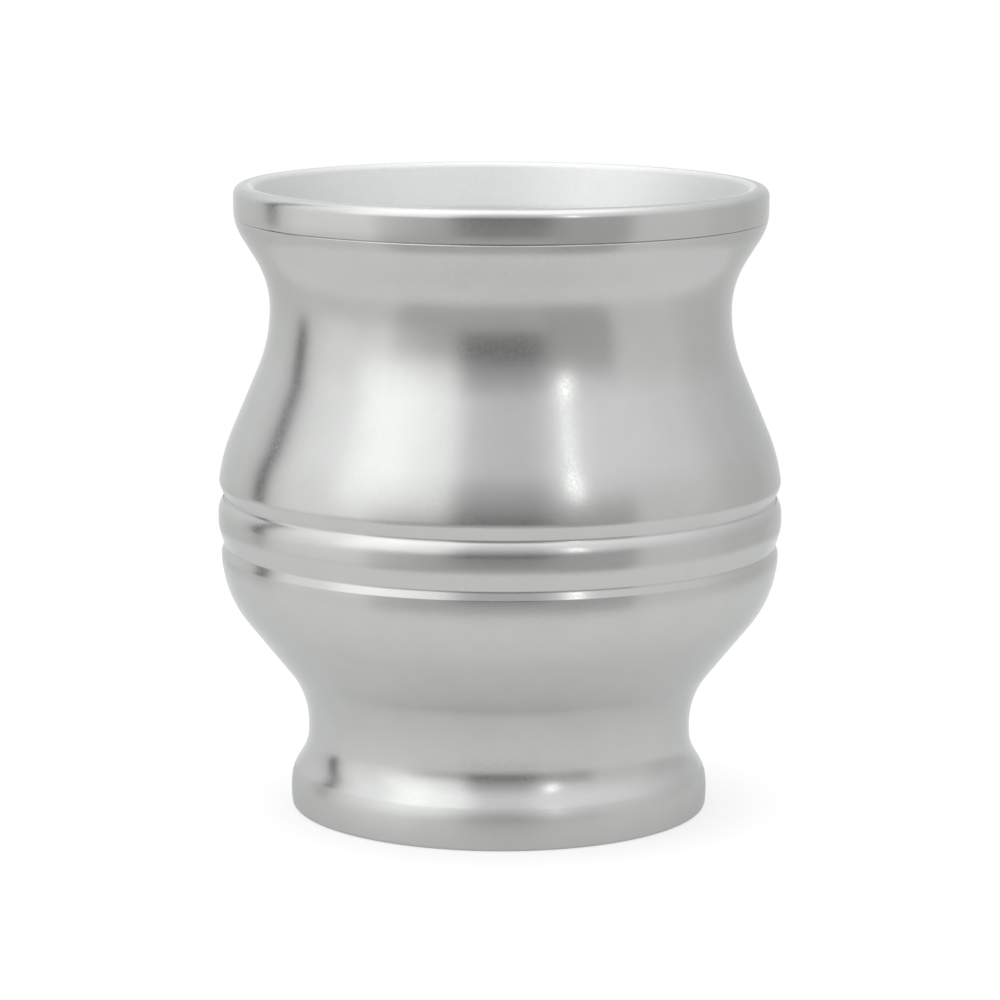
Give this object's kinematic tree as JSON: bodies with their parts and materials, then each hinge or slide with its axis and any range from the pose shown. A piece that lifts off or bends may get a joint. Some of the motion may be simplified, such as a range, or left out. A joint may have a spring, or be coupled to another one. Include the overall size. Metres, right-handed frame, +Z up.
{
  "type": "drawn metal cup",
  "caption": "Round-bellied sheet steel cup with a solid lip that opens as a funnel, a narrow neck, two rolled grooves round the belly and a waisted foot with a recessed base.",
  "frame": {"origin": "centre of the standing ring, on the surface that the cup stands on", "axes": "+Z up the cup's axis, out of the mouth; the cup is round about Z, so X and Y are free"},
  "size_m": [0.085, 0.085, 0.0945],
  "materials": {
    "satin_steel": "satin, with fine brush lines round the cup"
  },
  "bodies": {
    "root": {"cup": "satin_steel"}
  },
  "joints": []
}
